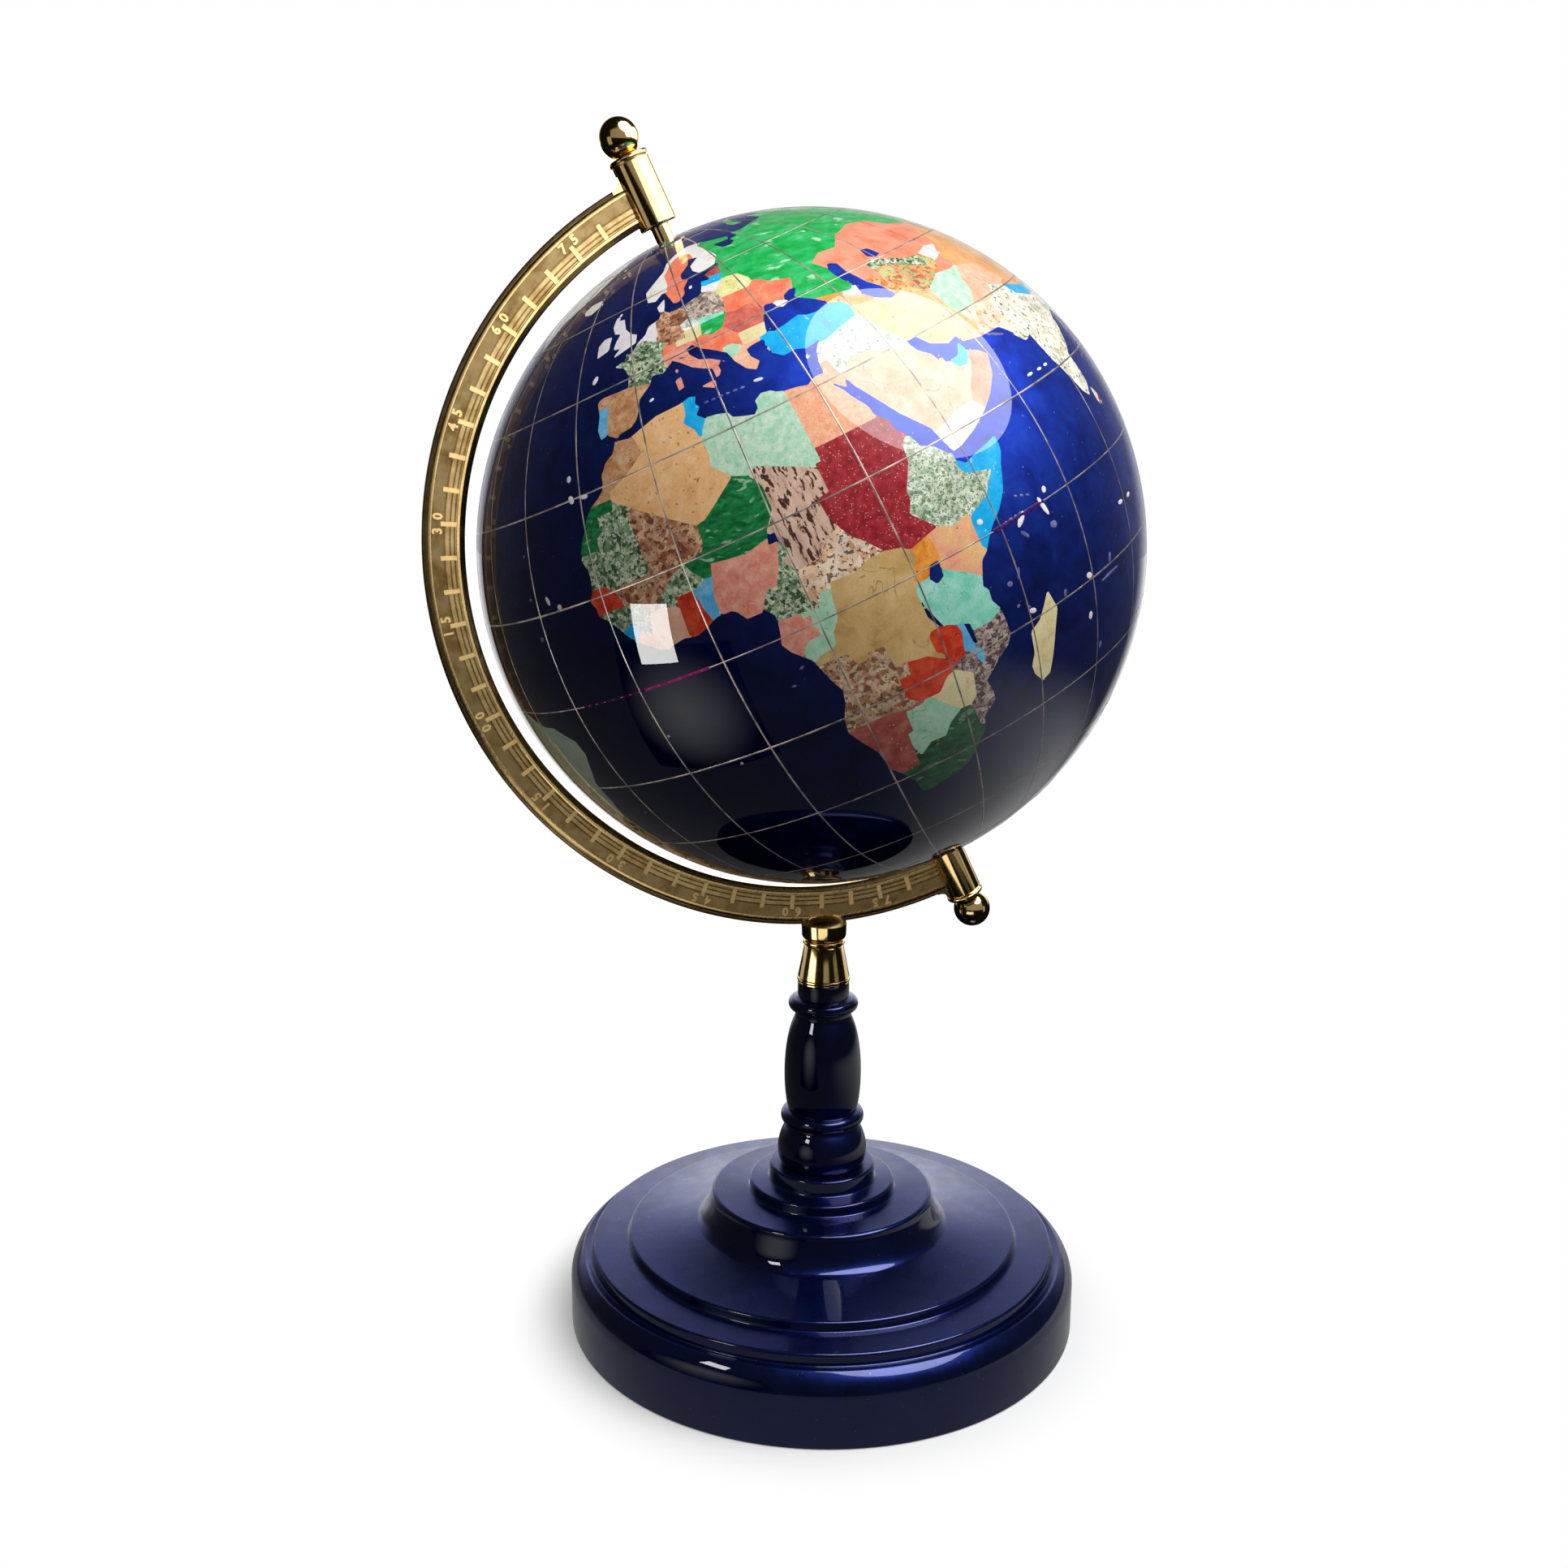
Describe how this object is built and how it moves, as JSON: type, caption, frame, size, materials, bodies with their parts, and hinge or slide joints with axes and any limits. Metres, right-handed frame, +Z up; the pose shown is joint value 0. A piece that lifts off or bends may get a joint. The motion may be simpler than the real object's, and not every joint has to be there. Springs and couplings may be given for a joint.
{
  "type": "gemstone desk globe",
  "caption": "Sphere inlaid with polished stone countries in a lapis sea, turning on ball-headed pins in a brass half-ring arm, on a turned and stepped gloss navy stand",
  "frame": {"origin": "centre of the base's flat underside, on the stem's axis", "axes": "+Z up along the stem; the arm lies in the XZ plane with its closed side and the globe's north pole towards -X; +Y is the far side"},
  "size_m": [0.2371, 0.22, 0.4085],
  "materials": {
    "navy_lacquer": "high-gloss navy lacquer on a turned body",
    "polished_brass": "polished, darkened in the recesses",
    "stone_inlay": "polished lapis sea with cut-stone countries and fine metal lines"
  },
  "bodies": {
    "stand": {"base": "navy_lacquer", "stem": "navy_lacquer", "ferrule": "polished_brass", "meridian_arm": "polished_brass", "top_pivot_pin": "polished_brass", "bottom_pivot_pin": "polished_brass"},
    "globe": {"globe": "stone_inlay"}
  },
  "joints": [
    {"name": "globe_spin", "type": "hinge", "parent": "stand", "child": "globe", "pos_m": [-0.006, 0, 0.2733], "axis": [-0.4352, 0, 0.9003], "continuous": true}
  ]
}
